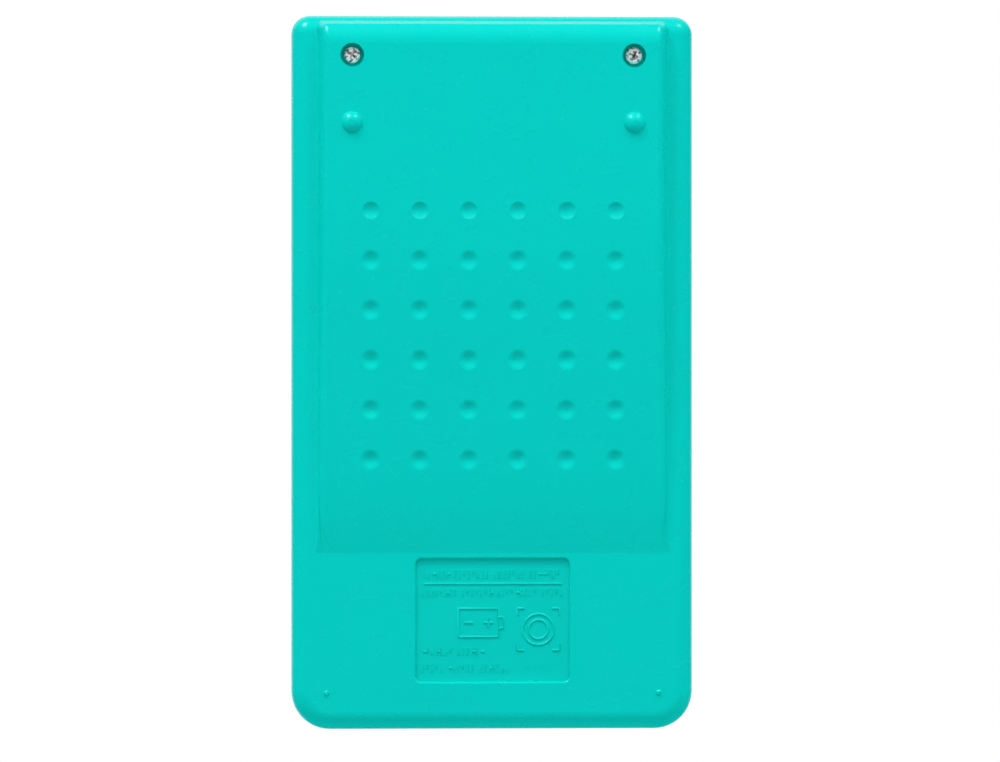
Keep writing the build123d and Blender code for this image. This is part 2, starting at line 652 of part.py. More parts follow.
def contact_pills():
    top_z = DOME_PEAK_Z - DOME_ROOF
    pills = [peg(PILL_DIAMETER, top_z - PILL_THICKNESS, top_z, x, y) for x, y in key_places().values()]
    return Compound(pills)


def button_cell():
    can_top = CELL_BOTTOM_Z + CELL_HEIGHT - CELL_CAP_HEIGHT
    can = peg(CELL_DIAMETER, CELL_BOTTOM_Z, can_top, y=CELL_Y)
    can = fillet(can.edges().filter_by(GeomType.CIRCLE), CELL_EDGE_RADIUS)
    cap = peg(CELL_CAP_DIAMETER, can_top - OVERLAP, CELL_BOTTOM_Z + CELL_HEIGHT, y=CELL_Y)
    return can + fillet(cap.edges().group_by(Axis.Z)[-1], CELL_CAP_EDGE_RADIUS)


def bent_strip(points):
    """A flat spring strip of the contact width, from the outline of its side."""
    side = Plane.YZ * make_face(Polyline(*points, close=True))
    return extrude(side, CONTACT_WIDTH / 2, both=True)


def battery_contact_positive():
    """Lies under the cell, leaves its ring through the notch and rises to the board."""
    low, high = CELL_BOTTOM_Z - CONTACT_THICKNESS, CELL_BOTTOM_Z
    start = CELL_Y - CELL_DIAMETER / 4
    end = CELL_Y + CELL_RING_BORE / 2 + CELL_RING_WALL + CONTACT_RING_GAP
    inner = end - CONTACT_THICKNESS
    foot = [(start, high), (start, low), (end, low)]
    upright = [(end, BOARD_BOTTOM_Z), (inner, BOARD_BOTTOM_Z), (inner, high)]
    return bent_strip(foot + upright)


def battery_contact_negative():
    """Soldered to the board, and bent down to press on the cell's cap."""
    low = CELL_BOTTOM_Z + CELL_HEIGHT
    high = low + CONTACT_THICKNESS
    pad_bottom = BOARD_BOTTOM_Z - CONTACT_THICKNESS
    end, bend = CELL_Y + CONTACT_TOUCH_REACH, CELL_Y - CONTACT_TOUCH_REACH
    pad_end, pad_start = CELL_Y - CONTACT_PAD_END, CELL_Y - CONTACT_PAD_START
    return bent_strip(
        [
            (pad_start, BOARD_BOTTOM_Z),
            (pad_end, BOARD_BOTTOM_Z),
            (bend, high),
            (end, high),
            (end, low),
            (bend - CONTACT_THICKNESS / 4, low),
            (pad_end - CONTACT_THICKNESS / 4, pad_bottom),
            (pad_start, pad_bottom),
        ]
    )


def cross_recess(span, slot, depth):
    """The tapering cross of a screw's drive, opening towards -Z at z = 0."""
    wings = Rectangle(span, slot) + Rectangle(slot, span)
    return Pos(0, 0, -OVERLAP / 10) * extrude(wings, depth, taper=CROSS_RECESS_TAPER)


def case_screw(x, y):
    head = peg(SCREW_HEAD_DIAMETER, -SCREW_HEAD_HEIGHT, 0)
    head = fillet(head.edges().group_by(Axis.Z)[0], SCREW_HEAD_EDGE_RADIUS)
    recess = cross_recess(CROSS_RECESS_SPAN, CROSS_RECESS_SLOT, CROSS_RECESS_DEPTH)
    head -= Pos(0, 0, -SCREW_HEAD_HEIGHT) * recess
    tip_height = SCREW_DIAMETER / 2
    shank = peg(SCREW_DIAMETER, -OVERLAP, SCREW_LENGTH - tip_height)
    tip_middle = SCREW_LENGTH - tip_height / 2
    tip = Pos(0, 0, tip_middle) * Cone(SCREW_DIAMETER / 2, SCREW_TIP_DIAMETER / 2, tip_height)
    screw = head + shank + tip
    return Pos(x, y, SCREW_SEAT_Z) * Rot(0, 0, CROSS_RECESS_TURN) * screw


def board_screw(x, y):
    head = peg(BOARD_SCREW_HEAD_DIAMETER, BOARD_BOTTOM_Z - BOARD_SCREW_HEAD_HEIGHT, BOARD_BOTTOM_Z)
    head = fillet(head.edges().group_by(Axis.Z)[0], BOARD_SCREW_HEAD_EDGE_RADIUS)
    recess = cross_recess(BOARD_SCREW_RECESS_SPAN, BOARD_SCREW_RECESS_SLOT, BOARD_SCREW_RECESS_DEPTH)
    head -= Pos(0, 0, BOARD_BOTTOM_Z - BOARD_SCREW_HEAD_HEIGHT) * recess
    shank = peg(BOARD_SCREW_DIAMETER, BOARD_BOTTOM_Z - OVERLAP, BOARD_BOTTOM_Z + BOARD_SCREW_LENGTH)
    return Pos(x, y, 0) * (head + shank)


def key(x, y):
    """Cap with a shallow finger dish, flange that stops it under the front wall, and plunger."""
    cap = rounded_plate(KEY_WIDTH, KEY_HEIGHT, KEY_CORNER_RADIUS, KEY_FLANGE_BOTTOM_Z, KEY_TOP_Z)
    cap = fillet(cap.edges().group_by(Axis.Z)[-1], KEY_EDGE_RADIUS)
    cap -= Pos(0, 0, KEY_TOP_Z - KEY_DISH_DEPTH + KEY_DISH_RADIUS) * Sphere(KEY_DISH_RADIUS)
    flange = rounded_plate(
        KEY_WIDTH + 2 * KEY_FLANGE_WIDTH,
        KEY_HEIGHT + 2 * KEY_FLANGE_WIDTH,
        KEY_CORNER_RADIUS + KEY_FLANGE_WIDTH,
        KEY_FLANGE_BOTTOM_Z,
        FRONT_WALL_Z - KEY_FLANGE_GAP,
    )
    plunger = peg(KEY_PLUNGER_DIAMETER, PLUNGER_BOTTOM_Z, KEY_FLANGE_BOTTOM_Z + OVERLAP)
    return Pos(x, y, 0) * (cap + flange + plunger)


def all_parts():
    parts = {
        "back_cover": back_cover(),
        "front_cover": front_cover(),
        "display_window": display_window(),
        "lcd_panel": lcd_panel(),
        "lcd_holder": lcd_holder(),
        "lcd_foam_pad": lcd_foam_pad(),
        "lcd_connector": lcd_connector(),
        "circuit_board": circuit_board(),
        "controller_chip": controller_chip(),
        "capacitors": chip_parts(CAPACITOR_PLACES, CAPACITOR_SIZE),
        "resistors": chip_parts(RESISTOR_PLACES, RESISTOR_SIZE),
        "keypad_membrane": keypad_membrane(),
        "contact_pills": contact_pills(),
        "button_cell": button_cell(),
        "battery_contact_positive": battery_contact_positive(),
        "battery_contact_negative": battery_contact_negative(),
        "case_screws": Compound([case_screw(x, y) for x, y in SCREW_PLACES]),
        "board_screws": Compound([board_screw(x, y) for x, y in POST_PLACES]),
    }
    for name, (x, y) in key_places().items():
        parts[name] = key(x, y)
    return parts


def standing_place(parts):
    """Tips the level case on to its feet, with their flats on z = 0 and the outline centred on the origin."""
    tip = Rot(STANDING_ANGLE, 0, 0)
    middle_y = (tip * (parts["back_cover"] + parts["front_cover"])).bounding_box().center().Y
    angle = math.radians(STANDING_ANGLE)
    ground_z = PIP_Y * math.sin(angle) + PIP_GROUND_Z * math.cos(angle)
    return Pos(0, -middle_y, -ground_z) * tip


if __name__ == "__main__":
    os.makedirs("parts", exist_ok=True)
    calculator = all_parts()
    place = standing_place(calculator)
    for name, shape in calculator.items():
        export_step(place * shape, f"parts/{name}.step")
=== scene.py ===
import json
import math
import random

import bmesh
import bpy
from mathutils import Matrix, Vector


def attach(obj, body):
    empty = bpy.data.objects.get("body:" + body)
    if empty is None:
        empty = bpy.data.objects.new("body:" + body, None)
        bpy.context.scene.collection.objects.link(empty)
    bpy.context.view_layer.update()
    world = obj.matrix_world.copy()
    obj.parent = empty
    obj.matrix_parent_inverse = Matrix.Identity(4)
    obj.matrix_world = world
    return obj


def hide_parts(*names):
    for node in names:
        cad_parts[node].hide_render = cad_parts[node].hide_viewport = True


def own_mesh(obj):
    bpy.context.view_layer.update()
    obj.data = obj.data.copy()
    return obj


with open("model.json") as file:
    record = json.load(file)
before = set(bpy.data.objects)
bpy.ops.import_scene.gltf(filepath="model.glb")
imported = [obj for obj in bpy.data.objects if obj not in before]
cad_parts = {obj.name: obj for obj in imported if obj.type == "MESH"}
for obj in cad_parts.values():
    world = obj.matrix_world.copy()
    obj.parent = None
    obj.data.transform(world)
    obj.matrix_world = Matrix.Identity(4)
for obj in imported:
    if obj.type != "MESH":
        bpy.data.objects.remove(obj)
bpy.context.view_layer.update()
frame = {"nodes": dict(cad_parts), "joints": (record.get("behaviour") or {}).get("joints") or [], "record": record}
nodes = frame["nodes"]
subparts = frame["record"]["subparts"]
slot_of = {part["node"]: part["material_slot"] for part in subparts}
MM = 0.001

# The case is modelled level and then tipped about X on to its feet. Its own axes come from the way the
# keys slide, and its own origin lies on the flat of the back, below the middle of the outline.
press = Vector(frame["joints"][0]["axis"]).normalized()
CASE_X = Vector((1, 0, 0))
CASE_Z = -press
CASE_Y = CASE_Z.cross(CASE_X)
FRONT_FACE_Z = 8.4


def level_box(node):
    """Lowest and highest corner of a CAD node along the case's own axes, in metres."""
    points = [v.co for v in nodes[node].data.vertices]
    spans = [[p.dot(axis) for p in points] for axis in (CASE_X, CASE_Y, CASE_Z)]
    return Vector(map(min, spans)), Vector(map(max, spans))


front_low, front_high = level_box("front_cover")
level_origin = Vector((0, (front_low.y + front_high.y) / 2, front_high.z - FRONT_FACE_Z * MM))


def at(x, y, z):
    """A point given in millimetres in the case's own axes, as metres in the frame."""
    level = level_origin + Vector((x, y, z)) * MM
    return CASE_X * level.x + CASE_Y * level.y + CASE_Z * level.z


def node_box(node):
    """Lowest and highest corner of a CAD node in millimetres in the case's own axes."""
    low, high = level_box(node)
    return (low - level_origin) / MM, (high - level_origin) / MM


# ---------------------------------------------------------------- materials

def linear(*channels):
    """Shader colour from screen colour channels of 0 to 255."""
    def one(value):
        value = value / 255
        return value / 12.92 if value <= 0.04045 else ((value + 0.055) / 1.055) ** 2.4

    return tuple(one(c) for c in channels)


def shader(name, **values):
    """A new material and its main shader, with constant values on the shader's own sockets."""
    material = bpy.data.materials.new(name)
    material.use_nodes = True
    main = material.node_tree.nodes["Principled BSDF"]
    for key, value in values.items():
        main.inputs[key.replace("_", " ")].default_value = value
    return material, main


def add_node(material, kind, **values):
    node = material.node_tree.nodes.new(kind)
    for key, value in values.items():
        node.inputs[key.replace("_", " ")].default_value = value
    return node


def link(material, source, target):
    material.node_tree.links.new(source, target)


def noise(material, scale, detail=2.0, roughness=0.5):
    """Noise in the object's own space; scale is in features per metre."""
    place = add_node(material, "ShaderNodeTexCoord")
    texture = add_node(material, "ShaderNodeTexNoise", Scale=scale, Detail=detail, Roughness=roughness)
    link(material, place.outputs["Object"], texture.inputs["Vector"])
    return texture.outputs["Fac"]


def remap(material, source, low, high, start=0.3, end=0.7):
    """The part of a value between start and end, carried over to low and high."""
    node = add_node(material, "ShaderNodeMapRange")
    for index, value in enumerate((start, end, low, high), 1):
        node.inputs[index].default_value = value
    link(material, source, node.inputs[0])
    return node.outputs[0]


def tint(material, source, dark, light, start=0.3, end=0.7):
    """Colour that goes from dark to light as a value goes from start to end."""
    ramp = add_node(material, "ShaderNodeValToRGB")
    for stop, position, colour in zip(ramp.color_ramp.elements, (start, end), (dark, light)):
        stop.position = position
        stop.color = (*colour, 1)
    link(material, source, ramp.inputs[0])
    return ramp.outputs[0]


def shades(colour, spread):
    return tuple(c * (1 - spread) for c in colour), tuple(min(1, c * (1 + spread)) for c in colour)


GLOSS_PER_PATCH = 4
GLOSSIEST, DULLEST = 0.9, 1.12
GRAIN_STRENGTH = 0.6


def surface(name, roughness, patches=60.0, grain=0.01, grain_scale=2600.0, **values):
    """A surface whose gloss drifts slowly, with a fine grain; grain is its height in millimetres."""
    material, main = shader(name, **values)
    gloss = noise(material, patches * GLOSS_PER_PATCH, 4.0)
    drift = remap(material, gloss, roughness * GLOSSIEST, roughness * DULLEST)
    link(material, drift, main.inputs["Roughness"])
    bump = add_node(material, "ShaderNodeBump", Strength=GRAIN_STRENGTH, Distance=grain * MM)
    link(material, noise(material, grain_scale, 2.0, 0.6), bump.inputs["Height"])
    link(material, bump.outputs["Normal"], main.inputs["Normal"])
    return material, main


def finish(name, colour, roughness, spread=0.02, patches=60.0, **values):
    """A surface whose colour drifts slowly too, by a share of spread to each side."""
    material, main = surface(name, roughness, patches, **values)
    slow = noise(material, patches, 3.0)
    link(material, tint(material, slow, *shades(colour, spread)), main.inputs["Base Color"])
    return material


TEAL = linear(0, 207, 197)
# The label recess floor and its raised marks are two per cent darker than the rest of the case.
LABEL_TEAL = tuple(c * 0.98 for c in TEAL)

teal_plastic = finish("teal_plastic", TEAL, 0.26, spread=0.008, grain=0.005, Specular_IOR_Level=0.34)
label_plastic = finish("label_plastic", LABEL_TEAL, 0.34, spread=0.015, grain=0.02, Specular_IOR_Level=0.3)


def screws_with_painted_reflections():
    """Pale plating, its colour broken into small near-black and near-white patches that are painted reflections
    and glints of a polished cross head.
    """
    material, main = surface("screw_plate", 0.2, grain=0.1, grain_scale=2400.0, Metallic=0.12)
    # Painted reflections: noise splits the plating's colour into dark and near-white patches, standing in for the
    # glints and dark spots a polished head mirrors.
    painted_reflections = noise(material, 1900.0, 1.0, 0.4)
    dark, bright = (0.12, 0.15, 0.16), (0.94, 0.96, 0.97)
    link(material, tint(material, painted_reflections, dark, bright, 0.40, 0.50), main.inputs["Base Color"])
    return material


MATERIALS = {
    "case_plastic": teal_plastic,
    "screw_metal": screws_with_painted_reflections(),
    "holder_plastic": finish("holder_plastic", (0.74, 0.74, 0.71), 0.45, Specular_IOR_Level=0.4),
    "foam": finish(
        "foam_pad", (0.035, 0.035, 0.037), 0.95, spread=0.3, patches=1800.0, grain=0.12, grain_scale=3200.0
    ),
    "connector_rubber": finish("connector_rubber", (0.62, 0.40, 0.34), 0.6, spread=0.1, patches=2400.0),
    "chip_resin": finish("chip_resin", (0.012, 0.012, 0.014), 0.22, spread=0.3, patches=500.0, grain=0.03),
    "capacitor_body": finish("capacitor_body", (0.34, 0.22, 0.12), 0.4, spread=0.12, patches=1500.0),
    "resistor_body": finish("resistor_body", (0.022, 0.022, 0.024), 0.3, spread=0.2, patches=1500.0),
    "membrane_rubber": finish(
        "membrane_rubber", (0.56, 0.58, 0.56), 0.55, spread=0.05, patches=150.0, grain=0.02
    ),
    "pill_rubber": finish("pill_rubber", (0.02, 0.02, 0.02), 0.6, spread=0.3, patches=1200.0),
    "cell_steel": finish("cell_steel", (0.62, 0.61, 0.58), 0.28, spread=0.08, patches=400.0, Metallic=1.0),
    "contact_metal": finish("contact_metal", (0.66, 0.62, 0.5), 0.3, spread=0.1, patches=500.0, Metallic=1.0),
    "key_white": finish("key_white", (0.78, 0.79, 0.78), 0.38, spread=0.015, patches=120.0),
    "key_grey": finish("key_grey", (0.16, 0.18, 0.19), 0.38, spread=0.04, patches=120.0),
    "key_accent": finish("key_accent", (0.74, 0.09, 0.045), 0.36, spread=0.03, patches=120.0),
}


def solder_mask():
    """Green lacquer, in two close shades between a grid of copper tracks that show through paler."""
    material, main = surface("board_laminate", 0.34, patches=260.0)
    place = add_node(material, "ShaderNodeTexCoord")
    tracks = add_node(material, "ShaderNodeTexBrick", Scale=420.0, Mortar_Size=0.06)
    greens = {"Color1": (0.010, 0.13, 0.045), "Color2": (0.014, 0.17, 0.060), "Mortar": (0.030, 0.27, 0.100)}
    for socket, green in greens.items():
        tracks.inputs[socket].default_value = (*green, 1)
    link(material, place.outputs["Object"], tracks.inputs["Vector"])
    link(material, tracks.outputs["Color"], main.inputs["Base Color"])
    return material


def display_glass():
    """Polarised glass over a reflector: grey-green, with a faint fine grain."""
    grey_green = (0.36, 0.41, 0.33)
    return finish(
        "display_glass", grey_green, 0.25, spread=0.03, patches=900.0, grain=0.004, grain_scale=9000.0
    )


def window_acrylic():
    """Thin clear acrylic: mostly see-through, with a polished surface."""
    material, main = shader("window_acrylic", Alpha=0.16, IOR=1.9, Specular_IOR_Level=0.5)
    main.inputs["Base Color"].default_value = (0.03, 0.035, 0.035, 1)
    haze = noise(material, 240.0, 3.0)
    link(material, remap(material, haze, 0.03, 0.07), main.inputs["Roughness"])
    return material


MATERIALS["board_laminate"] = solder_mask()
MATERIALS["lcd_glass"] = display_glass()
MATERIALS["window_clear"] = window_acrylic()

for node, slot_name in slot_of.items():
    for material_slot in nodes[node].material_slots:
        material_slot.material = MATERIALS[slot_name]

dark_ink = finish("dark_ink", (0.025, 0.027, 0.03), 0.5, spread=0.1, patches=900.0, grain=0.004)
light_ink = finish("light_ink", (0.80, 0.81, 0.80), 0.5, spread=0.03, patches=900.0, grain=0.004)
mask_ink = finish("mask_ink", (0.010, 0.011, 0.012), 0.35, spread=0.15, patches=400.0, grain=0.004)
segment_on = finish("segment_on", (0.018, 0.022, 0.020), 0.4, spread=0.1, patches=900.0, grain=0.002)
segment_off = finish("segment_off", (0.315, 0.36, 0.29), 0.3, spread=0.03, patches=900.0, grain=0.002)

# ---------------------------------------------------------------- pieces

def piece(name, mesh, material, body="casing"):
    """A new visible piece with the given material, which moves with a body."""
    mesh.materials.clear()
    mesh.materials.append(material)
    obj = bpy.data.objects.new(name, mesh)
    bpy.context.scene.collection.objects.link(obj)
    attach(obj, body)
    return obj


def flat_mesh(name, polygons, z):
    """Flat faces in the case's own axes, each a list of (x, y) in millimetres, seen from the front."""
    mesh = bpy.data.meshes.new(name)
    points, faces = [], []
    for polygon in polygons:
        faces.append(range(len(points), len(points) + len(polygon)))
        points += [at(x, y, z) for x, y in polygon]
    mesh.from_pydata(points, [], [tuple(f) for f in faces])
    return mesh


def text_outline(text, size):
    """Flat mesh of a legend about its own middle, in millimetres."""
    curve = bpy.data.curves.new("legend", "FONT")
    curve.body = text
    curve.size = size
    curve.resolution_u = 6
    holder = bpy.data.objects.new("legend", curve)
    bpy.context.scene.collection.objects.link(holder)
    mesh = bpy.data.meshes.new_from_object(holder)
    bpy.data.objects.remove(holder)
    bpy.data.curves.remove(curve)
    xs, ys = [v.co.x for v in mesh.vertices], [v.co.y for v in mesh.vertices]
    middle = Vector(((min(xs) + max(xs)) / 2, (min(ys) + max(ys)) / 2, 0))
    for vertex in mesh.vertices:
        vertex.co -= middle
    return mesh


# ---------------------------------------------------------------- key legends

DISH_RADIUS = 22.0
DISH_DEPTH = 0.2
INK_LIFT = 0.02
LEGENDS = {
    "square_root": ("√", 4.4),
    "percent": ("%", 4.0),
    "memory_recall": ("MR", 3.2),
    "memory_minus": ("M−", 3.2),
    "memory_plus": ("M+", 3.2),
    "sign": ("±", 4.4),
    "divide": ("÷", 5.4),
    "multiply": ("×", 5.4),
    "minus": ("−", 5.4),
    "plus": ("+", 5.4),
    "equals": ("=", 5.4),
    "decimal": (".", 6.4),
    "off": ("OFF", 2.9),
    "clear": ("C", 4.4),
    "all_clear": ("AC", 3.6),
}
DIGIT_SIZE = 5.2
key_middles = {}

for key in (node for node in slot_of if node.startswith("key_")):
    label = key.removeprefix("key_")
    text, size = LEGENDS.get(label, (label, DIGIT_SIZE))
    low, high = node_box(key)
    middle_x, middle_y = key_middles[key] = ((low.x + high.x) / 2, (low.y + high.y) / 2)
    ball_z = high.z - DISH_DEPTH + DISH_RADIUS
    legend = text_outline(text, size)
    for vertex in legend.vertices:
        x, y = vertex.co.x, vertex.co.y
        dish_z = ball_z - math.sqrt(DISH_RADIUS**2 - x * x - y * y)
        vertex.co = at(middle_x + x, middle_y + y, dish_z + INK_LIFT)
    ink = dark_ink if slot_of[key] == "key_white" else light_ink
    piece("legend_" + label, legend, ink, body=key)

# ---------------------------------------------------------------- rubber domes and their contact pills

DOME_REACH = 3.65
CREASE_ANGLE = math.radians(35)


def nearby_key(face):
    """The key whose dome or pill a face belongs to, if any."""
    corners = [v.co for v in face.verts]
    places = [((c.dot(CASE_X) - level_origin.x) / MM, (c.dot(CASE_Y) - level_origin.y) / MM) for c in corners]
    for key, middle in key_middles.items():
        if all(math.dist(place, middle) < DOME_REACH for place in places):
            return key
    return None


def split_by_key(node):
    """Copies of a node's mesh, one for each key with the faces below it, and one under None with the rest."""
    whole = bmesh.new()
    whole.from_mesh(nodes[node].data)
    owners = [nearby_key(face) for face in whole.faces]
    whole.free()
    meshes = {}
    for owner in sorted(set(owners), key=str):
        share = bmesh.new()
        share.from_mesh(nodes[node].data)
        others = [face for face, name in zip(share.faces, owners) if name != owner]
        bmesh.ops.delete(share, geom=others, context="FACES")
        meshes[owner] = bpy.data.meshes.new(f"{node}_share")
        share.to_mesh(meshes[owner])
        share.free()
        meshes[owner].set_sharp_from_angle(angle=CREASE_ANGLE)
    return meshes


for node, prefix in (("keypad_membrane", "rubber_dome"), ("contact_pills", "pill")):
    for key, mesh in split_by_key(node).items():
        name = prefix + key.removeprefix("key") if key else "membrane_sheet"
        share = piece(name, mesh, MATERIALS[slot_of[node]])
        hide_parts(node)
        if key:
            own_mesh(share)

# ---------------------------------------------------------------- display

DIGITS_SHOWN = "12345678"
DIGIT_HEIGHT = 7.6
DIGIT_WIDTH = 3.9
DIGIT_PITCH = 5.25
SEGMENT_WIDTH = 0.72
SEGMENT_GAP = 0.09
DIGIT_SLANT = math.tan(math.radians(6))
DIGITS_LEFT = 0.3
POINT_RADIUS = 0.36
POINT_GAP = 0.28
POINT_CORNERS = 8
PRINT_LIFT = 0.02
UNLIT_DROP = 0.005
SEGMENTS_OF = {
    "0": "abcdef", "1": "bc", "2": "abged", "3": "abgcd", "4": "fgbc",
    "5": "afgcd", "6": "afgedc", "7": "abc", "8": "abcdefg", "9": "abcdfg",
}


def bar(x0, y0, x1, y1):
    """A segment with pointed ends between two points, as a six-sided outline."""
    along = Vector((x1 - x0, y1 - y0))
    length = along.length - 2 * SEGMENT_GAP
    along.normalize()
    across = Vector((-along.y, along.x)) * SEGMENT_WIDTH / 2
    start = Vector((x0, y0)) + along * SEGMENT_GAP
    end = start + along * length
    tip = along * SEGMENT_WIDTH / 2
    return [start, start + tip - across, end - tip - across, end, end - tip + across, start + tip + across]


def digit_segments():
    """Outline of each of the seven segments, about the digit's own middle."""
    w, h = DIGIT_WIDTH / 2 - SEGMENT_WIDTH / 2, DIGIT_HEIGHT / 2 - SEGMENT_WIDTH / 2
    corners = {"a": (-w, h, w, h), "b": (w, 0, w, h), "c": (w, -h, w, 0), "d": (-w, -h, w, -h)}
    corners.update({"e": (-w, -h, -w, 0), "f": (-w, 0, -w, h), "g": (-w, 0, w, 0)})
    return {name: bar(*ends) for name, ends in corners.items()}


def decimal_point(x, y):
    """A small round dot as an eight-sided outline, standing on the height y."""
    turns = [corner * math.tau / POINT_CORNERS for corner in range(POINT_CORNERS)]
    return [(x + POINT_RADIUS * math.cos(a), y + POINT_RADIUS * (1 + math.sin(a))) for a in turns]


panel_top_z = node_box("lcd_panel")[1].z
window_low, window_high = node_box("display_window")
view_y = (window_low.y + window_high.y) / 2
print_z = panel_top_z + PRINT_LIFT
shown, unshown = [], []
for place, digit in enumerate(DIGITS_SHOWN):
    centre_x = (place - (len(DIGITS_SHOWN) - 1) / 2) * DIGIT_PITCH - DIGITS_LEFT
    for name, outline in digit_segments().items():
        slanted = [(centre_x + p.x + p.y * DIGIT_SLANT, view_y + p.y) for p in outline]
        (shown if name in SEGMENTS_OF[digit] else unshown).append(slanted)
    point = decimal_point(centre_x + DIGIT_WIDTH / 2 + POINT_GAP, view_y - DIGIT_HEIGHT / 2)
    (shown if place == len(DIGITS_SHOWN) - 1 else unshown).append(point)
digits = flat_mesh("display_digits", shown, print_z)
unlit_segments = flat_mesh("display_unlit_segments", unshown, print_z - UNLIT_DROP)
piece("display_digits", digits, segment_on)
piece("display_unlit_segments", unlit_segments, segment_off)

MASK_MARGIN = 0.35
MASK_OPENING = (44.2, 11.4)
MASK_OUTER_RADIUS = 1.3
MASK_INNER_RADIUS = 0.7
MASK_LIFT = 0.03
outer_x = (window_high.x - window_low.x) / 2 - MASK_MARGIN
outer_y = (window_high.y - window_low.y) / 2 - MASK_MARGIN
inner_x, inner_y = MASK_OPENING[0] / 2, MASK_OPENING[1] / 2


def rounded(half_x, half_y, radius, centre_y, steps=6):
    """Corner points of a rounded rectangle, the same number for every size."""
    points = []
    for corner, (sx, sy) in enumerate(((1, 1), (-1, 1), (-1, -1), (1, -1))):
        for step in range(steps + 1):
            angle = math.pi / 2 * (corner + step / steps)
            x = sx * (half_x - radius) + radius * math.cos(angle)
            y = sy * (half_y - radius) + radius * math.sin(angle)
            points.append((x, centre_y + y))
    return points


outer = rounded(outer_x, outer_y, MASK_OUTER_RADIUS, view_y)
inner = rounded(inner_x, inner_y, MASK_INNER_RADIUS, view_y)
ring = [[outer[i - 1], outer[i], inner[i], inner[i - 1]] for i in range(len(outer))]
piece("window_mask", flat_mesh("window_mask", ring, window_low.z + MASK_LIFT), mask_ink)

# ---------------------------------------------------------------- raised marks in the label recess

LABEL_WIDTH = 24.8
LABEL_HEIGHT = 19.85
LABEL_Y = -40.08
LABEL_FLOOR_Z = 0.55
PRINT_RADIUS = 0.19
SYMBOL_RADIUS = 0.22
MARK_LIFT = 0.03
FLOOR_MARGIN = 0.3
FLOOR_CORNER_RADIUS = 0.5
FLOOR_LIFT = 0.006
STROKE_PITCH = 0.74
DASH_LENGTH = 0.5
GROUP_SIZES = (4, 9)
GROUP_GAP = 0.55
draws = random.Random(7)

# A thin plate just over the recess floor gives the floor this darker colour.
floor_x, floor_y = LABEL_WIDTH / 2 - FLOOR_MARGIN, LABEL_HEIGHT / 2 - FLOOR_MARGIN
floor_outline = [(-x, y) for x, y in rounded(floor_x, floor_y, FLOOR_CORNER_RADIUS, LABEL_Y)]
floor_mesh = flat_mesh("label_floor", [floor_outline], LABEL_FLOOR_Z - FLOOR_LIFT)
piece("label_floor", floor_mesh, label_plastic)


def row_of_marks(left, right, height, y):
    """A line of small upright strokes and dots in groups, as rows of print look from afar."""
    strokes = []
    u = left
    group = draws.randint(*GROUP_SIZES)
    while u < right:
        kind = draws.choice(("tall", "tall", "tall", "low", "high", "dash", "pair"))
        top, bottom = y + height / 2, y - height / 2
        if kind in ("tall", "pair"):
            strokes.append([(u, bottom), (u, top)])
        if kind == "low":
            strokes.append([(u, bottom), (u, y)])
        if kind == "high":
            strokes.append([(u, y), (u, top)])
        if kind in ("dash", "pair"):
            strokes.append([(u, y), (min(u + DASH_LENGTH, right), y)])
        u += STROKE_PITCH
        group -= 1
        if group == 0:
            group = draws.randint(*GROUP_SIZES)
            u += GROUP_GAP
    return strokes


def circle(u, v, radius, steps=40):
    turns = [step * math.tau / steps for step in range(steps + 1)]
    return [(u + radius * math.cos(a), v + radius * math.sin(a)) for a in turns]


def battery_mark(u, v, width, height):
    """A plain outline of a battery, with a plus and a minus at its two ends."""
    w, h, tab, nub_length = width / 2, height / 2, height / 5, 0.8
    body = [(u - w, v - h), (u + w, v - h), (u + w, v + h), (u - w, v + h), (u - w, v - h)]
    end = u + w + nub_length
    nub = [(u + w, v - tab), (end, v - tab), (end, v + tab), (u + w, v + tab)]
    plus_u, minus_u, arm = u + w / 2, u - w / 2, 0.75
    plus = [[(plus_u - arm, v), (plus_u + arm, v)], [(plus_u, v - arm), (plus_u, v + arm)]]
    return [body, nub, *plus, [(minus_u - arm, v), (minus_u + arm, v)]]


def cell_mark(u, v, radius):
    """A button cell seen from above, with guide ticks at its corners."""
    reach, tick, rim = radius + 0.9, 1.1, 0.62
    ticks = []
    for su in (-1, 1):
        for sv in (-1, 1):
            corner = (u + su * reach, v + sv * reach)
            ticks.append([(corner[0] - su * tick, corner[1]), corner, (corner[0], corner[1] - sv * tick)])
    return [circle(u, v, radius), circle(u, v, radius * rim), *ticks]


def raised_strokes(name, strokes, radius):
    """Half-round strokes standing on the recess floor, given as (u, v) with u towards the viewer's right."""
    curve = bpy.data.curves.new(name, "CURVE")
    curve.dimensions = "3D"
    curve.bevel_depth = radius * MM
    curve.bevel_resolution = 2
    curve.use_fill_caps = True
    for points in strokes:
        spline = curve.splines.new("POLY")
        spline.points.add(len(points) - 1)
        for place, (u, v) in zip(spline.points, points):
            place.co = (*at(-u, LABEL_Y + v, LABEL_FLOOR_Z + MARK_LIFT), 1)
    holder = bpy.data.objects.new(name, curve)
    bpy.context.scene.collection.objects.link(holder)
    mesh = bpy.data.meshes.new_from_object(holder)
    bpy.data.objects.remove(holder)
    bpy.data.curves.remove(curve)
    for face in mesh.polygons:
        face.use_smooth = True
    return mesh


RULE_V = 5.9
DOTS_U = (5.6, 6.8, 8.0, 9.2)
DOTS_V = -7.6
HALF_DOT = 0.01

